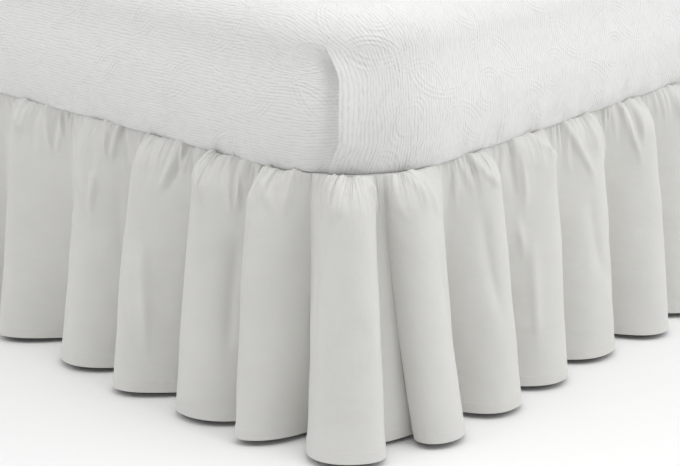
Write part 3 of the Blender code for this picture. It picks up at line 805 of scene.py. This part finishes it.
def makeMattress():
    reach, height, down, bottom, top = coverProfile()
    _, _, ends = bedPlan([0.0], mattress["corners"])
    angle = math.radians(mattress["pleatAngle"])
    footPleat = ends[0] + mattress["corners"][0] * angle
    headPleat = ends[3] - mattress["corners"][1] * angle
    end = ends[3] + bed["width"] / 2 - mattress["corners"][1]
    half = coverColumns((footPleat, headPleat), end)
    loop = np.concatenate([half, -half[-2:0:-1]])               # right side up, left side down again
    run = np.abs(loop)
    side = np.where(loop < 0, -1.0, 1.0)

    low, high = -mattress["pleatShiftLow"], -mattress["pleatShiftHigh"]
    shift = easeThrough((bottom, bottom + 0.022, bottom + 0.05, top - 0.095, top - 0.065, top - 0.045),
                        (low, low * 0.6, 0, 0, high * 0.5, high), height)
    rows = []
    for row in range(len(height)):
        warped, push = run.copy(), np.zeros(run.shape)
        for pleat, way in ((footPleat, 1.0), (headPleat, -1.0)):
            away = (run - pleat) * way                          # below 0 under the flap, above 0 on it
            warped += shift[row] * way * (1.0 - smooth(0.02, 0.10, np.abs(away)))
            fade = float(1.0 - smooth(top - 0.085, top - 0.050, height[row]))
            under = -mattress["pleatDip"] * (1.0 - smooth(0.0, 0.034, -away)) * (away < 0)
            over = mattress["pleatRise"] * (1.0 - smooth(0.0, 0.030, away)) * (away >= 0)
            settled = 0.35 + 0.65 * float(smooth(0.0, 0.045, height[row] - bottom))
            push += (under + over) * fade * settled
        lift = height[row] - bottom
        tuck = np.clip(wander(loop, mattress["tuckPitch"], 5), -0.2, 1.0)
        tuck = tuck * np.exp(-(lift / mattress["tuckReach"]) ** 2)
        onSide = smooth(ends[0] + 0.15, ends[1] + 0.1, run)
        push += mattress["tuckDepth"] * tuck * (0.25 + 0.75 * onSide) * smooth(0.0, 0.02, lift)
        sway = wander(loop, 0.31, 8) + 0.6 * wander(loop + height[row], 0.13, 9)
        push += mattress["softness"] * 0.5 * sway * np.sin(np.clip(lift / mattress["thick"], 0, 1) * math.pi)
        point, normal, _ = bedPlan(warped, mattress["corners"])
        spot = point + normal * (reach[row] + push)[:, None]
        rows.append(np.column_stack([spot[:, 0] * side, spot[:, 1], np.full(len(run), height[row])]))
    sides = np.array(rows)
    columns = len(loop)

    def cap(edge, shares, height, crown):                       # rings drawn in to the middle
        centre = np.array([0.0, bed["shift"]])
        rings = []
        for share in shares:
            flat = centre + (edge[:, :2] - centre) * share
            x, y = flat[:, 0] / (bed["width"] / 2), (flat[:, 1] - bed["shift"]) / (bed["length"] / 2)
            rise = crown * (1 - np.clip(np.abs(x), 0, 1) ** 2.5) * (1 - np.clip(np.abs(y), 0, 1) ** 2.5)
            rings.append(np.column_stack([flat, height + rise]))
        return np.array(rings)

    topRings = cap(sides[0], np.linspace(0.02, 0.99, 24), top, mattress["crown"])
    lowRings = cap(sides[-1], np.linspace(0.98, 0.04, 6), bottom, 0.0)
    grid = np.concatenate([topRings, sides, lowRings])
    count = len(grid)
    faces = gridFaces(count, columns, closed=True)
    first, last = len(topRings), len(topRings) + len(sides) - 1
    faceRow, faceColumn = np.divmod(np.arange(len(faces)), columns)

    # cloth coordinates: ribs run along U, so they lie across the foot and hang down the side flap
    footEdge = sides[0][0][1]
    headEdgeY = sides[0][:, 1].max()
    uvs = np.zeros((len(faces), 4, 2))
    middleRun = (run + np.abs(np.roll(loop, -1))) / 2
    onFoot, onHead = middleRun[faceColumn] < footPleat, middleRun[faceColumn] > headPleat
    onSide = (faceRow >= first) & (faceRow < last)
    edge = sides[0]
    planNormal = bedPlan(run, mattress["corners"])[1]
    for corner in range(4):
        row, column = np.divmod(faces[:, corner], columns)
        uvs[:, corner] = grid.reshape(-1, 3)[faces[:, corner], :2]
        fall = down[np.clip(row - first, 0, len(down) - 1)]
        whole = np.minimum(fall, mattress["pleatStart"])     # above the pleat it is one piece
        below = fall - whole
        ramp = smooth(0.0, 0.06, below)
        x = edge[column, 0] + planNormal[column, 0] * side[column] * whole
        y = edge[column, 1] + planNormal[column, 1] * whole
        footV = y - below + (footEdge - mattress["pleatStart"] - y) * ramp
        headV = y + below + (headEdgeY + mattress["pleatStart"] - y) * ramp
        cornerV = bed["shift"] - bed["length"] / 2 + mattress["corners"][0] + (run[column] - ends[1])
        sideV = y + (np.minimum(cornerV, y) - y) * ramp
        v = np.where(onFoot, footV, np.where(onHead, headV, sideV))
        u = np.where(onFoot | onHead, x, x + side[column] * below)
        uvs[:, corner, 0] = np.where(onSide, u, uvs[:, corner, 0])
        uvs[:, corner, 1] = np.where(onSide, v, uvs[:, corner, 1])
    points = grid.reshape(-1, 3)
    centres = np.array([[0, bed["shift"], top + mattress["crown"]], [0, bed["shift"], bottom]])
    points = np.concatenate([points, centres])
    triangles = endFaces(count, columns, len(points) - 2, len(points) - 1)
    endUvs = [points[corner][:2].tolist() for triangle in triangles for corner in triangle]
    faceList = [tuple(face) for face in faces] + triangles
    item = meshObject("mattressCover", points, faceList, coverCloth, uvs.reshape(-1, 2).tolist() + endUvs)
    item.data.set_sharp_from_angle(angle=mattress["sharpFrom"])
    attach(item, "root")
    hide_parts("mattress")
    return item


mattressCover = makeMattress()
print("mattress covered:", len(mattressCover.data.polygons), "faces")


# deck sheet and box spring

deck = {
    "cloth": 0.0012, "allowanceCloth": 0.0019, "proud": 0.002, "allowance": 0.012, "edgeRound": 0.0006,
    "stitchIn": 0.003, "cutWidth": 1.56, "cutLength": 2.06,
}
spring = {
    "thick": 0.203, "lowerRound": 0.010, "upperRound": 0.008, "bow": 0.003,
    "weltRadius": 0.0024, "weltFromEdge": 0.020, "weltOut": -0.0012,
}
slab = {"columns": 110, "cornerColumns": 14, "rings": (0.75, 0.5, 0.25, 0.03), "sharpFrom": math.radians(40)}


def ringPlan(corners):          # points round a plan, their ways out, and the side that each is on
    _, _, ends = bedPlan([0.0], corners)
    half = [np.linspace(0.0, ends[3] + bed["width"] / 2 - corners[1], slab["columns"] + 1)]
    for low, high in ((ends[0], ends[1]), (ends[2], ends[3])):
        half.append(np.linspace(low, high, slab["cornerColumns"]))
    half = np.unique(np.round(np.concatenate(half), 6))
    loop = np.concatenate([half, -half[-2:0:-1]])
    point, normal, _ = bedPlan(np.abs(loop), corners)
    return point, normal, np.where(loop < 0, -1.0, 1.0)


def ringAt(plan, reach, height):
    point, normal, side = plan
    flat = point + normal * reach
    return np.column_stack([flat[:, 0] * side, flat[:, 1], np.full(len(side), height)])


def drawIn(ring, share):
    inner = ring.copy()
    inner[:, 0] *= share
    inner[:, 1] = bed["shift"] + (ring[:, 1] - bed["shift"]) * share
    return inner


def ringSlab(name, levels, corners, material):
    plan = ringPlan(corners)
    rings = [ringAt(plan, reach, height) for reach, height in levels]
    rings = ([drawIn(rings[0], share) for share in reversed(slab["rings"])] + rings
             + [drawIn(rings[-1], share) for share in slab["rings"]])
    count, columns = len(rings), len(plan[2])
    points = np.concatenate(rings + [[[0, bed["shift"], levels[0][1]], [0, bed["shift"], levels[-1][1]]]])
    faces = [tuple(face) for face in gridFaces(count, columns, closed=True)]
    faces += endFaces(count, columns, len(points) - 2, len(points) - 1)
    item = meshObject(name, points, faces, material)
    item.data.set_sharp_from_angle(angle=slab["sharpFrom"])
    return item


def makeDeck():
    bottom = bed["deckHeight"] + bed["clear"]
    thin, thick = deck["cloth"], deck["allowanceCloth"]
    outer, bend = deck["proud"], deck["edgeRound"]
    inner = outer - deck["allowance"]
    levels = [(inner - 0.001, bottom + thin), (inner, bottom + thick), (outer - bend, bottom + thick),
              (outer, bottom + thick - bend), (outer, bottom + bend), (outer - bend, bottom), (inner, bottom)]
    corners = (bed["footCorner"], bed["deckHeadCorner"])
    item = ringSlab("deckSheet", levels, corners, deckCloth)
    path = ringAt(ringPlan(corners), inner + deck["stitchIn"], bottom + thick)
    sewn = stitchLine("deckStitches", np.concatenate([path, path[:1]]))
    for piece in (item, sewn):
        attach(piece, "root")
    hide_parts("deck")
    return item, sewn


def makeWeltTree():             # round cord that follows a line of edges
    group, tree, start = nodeGroup("weltCord", [
        ("Radius", "NodeSocketFloat", 0.0024), ("Material", "NodeSocketMaterial", None)])
    curve = tree.node("GeometryNodeMeshToCurve", {}, {"Mesh": start.out("Geometry")})
    ring = tree.node("GeometryNodeCurvePrimitiveCircle", {"mode": "RADIUS"},
                     {"Resolution": 10, "Radius": start.out("Radius")})
    swept = tree.node("GeometryNodeCurveToMesh", {}, {"Curve": curve, "Profile Curve": ring})
    closeGroup(tree, start, swept)
    return group


def makeBoxSpring():
    bottom, top = bed["deckHeight"] - spring["thick"], bed["deckHeight"]
    lower, upper = spring["lowerRound"], spring["upperRound"]
    levels = []
    for angle in np.radians(np.linspace(0, 90, 5)):
        levels.append((-upper * (1 - math.sin(angle)), top - upper * (1 - math.cos(angle))))
    straight = spring["thick"] - upper - lower
    for share in np.linspace(0, 1, 9)[1:-1]:
        levels.append((-spring["bow"] * math.sin(share * math.pi), top - upper - straight * share))
    for angle in np.radians(np.linspace(0, 90, 5)):
        levels.append((-lower * (1 - math.cos(angle)), bottom + lower * (1 - math.sin(angle))))
    corners = (bed["footCorner"], bed["boxHeadCorner"])
    item = ringSlab("boxSpring", levels, corners, ticking)
    plan, weltTree, welts = ringPlan(corners), makeWeltTree(), []
    fromEdge = spring["weltFromEdge"]
    for name, height in (("weltUpper", top - fromEdge), ("weltLower", bottom + fromEdge)):
        path = ringAt(plan, spring["weltOut"], height)
        edges = [(i, (i + 1) % len(path)) for i in range(len(path))]
        welts.append(runAlong(name, path, edges, weltTree, Radius=spring["weltRadius"], Material=ticking))
    for piece in (item, *welts):
        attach(piece, "root")
    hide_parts("box_spring")
    return item


deckSheet, deckStitches = makeDeck()
boxSpring = makeBoxSpring()
print("deck sheet and box spring made")


# steel frame: its solids are right, so they get their finishes

steel = makeHardFinish("enamelledSteel", metallic=(0.35, 0.55), Coat_Roughness=0.3)
plastic = makeHardFinish("mouldedPlastic")
finishOf = {"rail": steel, "bar": steel, "leg": steel, "glide": plastic}
for name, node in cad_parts.items():
    finish = finishOf.get(name.split("_")[0])
    if finish:
        for slot in node.material_slots:
            slot.material = finish
print("frame finished")


# floor, light and camera

stage = {
    "floor": (0.87, 0.87, 0.87), "floorSize": 60.0,
    "world": (1.0, 1.0, 1.0), "worldStrength": 0.42,
    "aim": (0.5, -0.6, 0.3),    # what the lights face
}
lights = {                      # azimuth and elevation (degrees), distance and size (m), power (W)
    "keyLight": (114.0, 42.0, 5.0, 4.0, 122.0),
    "fillLight": (-30.0, 40.0, 5.0, 3.0, 70.0),
    "topLight": (60.0, 78.0, 5.0, 3.5, 78.0),
}
view = {"azimuth": 42.254, "elevation": 19.3395, "lens": 82.11, "place": (2.0473, -2.4157, 1.0012)}


def makeFloor():
    material, tree, shader = newMaterial("paleFloor")
    place = tree.node("ShaderNodeTexCoord").out("Object")
    speck = tree.noise(3.0, 2.0, 0.5, at=place)
    tree.feed(shader.inputs["Roughness"], 0.85 + speck * 0.1)
    shader.inputs["Base Color"].default_value = (*stage["floor"], 1.0)
    half = stage["floorSize"] / 2
    corners = [(-half, -half, 0), (half, -half, 0), (half, half, 0), (-half, half, 0)]
    meshObject("floor", corners, [(0, 1, 2, 3)], material)


def makeLight(name, azimuth, elevation, distance, size, power):
    light = bpy.data.lights.new(name, "AREA")
    light.size, light.energy = size, power
    item = bpy.data.objects.new(name, light)
    turned, up = math.radians(azimuth), math.radians(elevation)
    back = np.array([math.sin(turned) * math.cos(up), -math.cos(turned) * math.cos(up), math.sin(up)])
    item.location = (np.array(stage["aim"]) + back * distance).tolist()
    item.rotation_euler = (math.pi / 2 - up, 0.0, turned)
    sceneCollection.objects.link(item)


def makeWorld():
    world = bpy.data.worlds.new("softRoom")
    bpy.context.scene.world = world
    world.use_nodes = True
    background = world.node_tree.nodes["Background"]
    background.inputs["Color"].default_value = (*stage["world"], 1.0)
    background.inputs["Strength"].default_value = stage["worldStrength"]


def makeCamera():
    camera = bpy.data.cameras.new("camera")
    camera.lens, camera.sensor_width = view["lens"], 36.0
    camera.dof.use_dof = False
    item = bpy.data.objects.new("camera", camera)
    item.location = view["place"]
    item.rotation_euler = (math.radians(90.0 - view["elevation"]), 0.0, math.radians(view["azimuth"]))
    sceneCollection.objects.link(item)
    bpy.context.scene.camera = item


makeFloor()
makeWorld()
for name, settings in lights.items():
    makeLight(name, *settings)
makeCamera()
bpy.context.scene.view_settings.view_transform = "Standard"
print("stage, lights and camera placed")
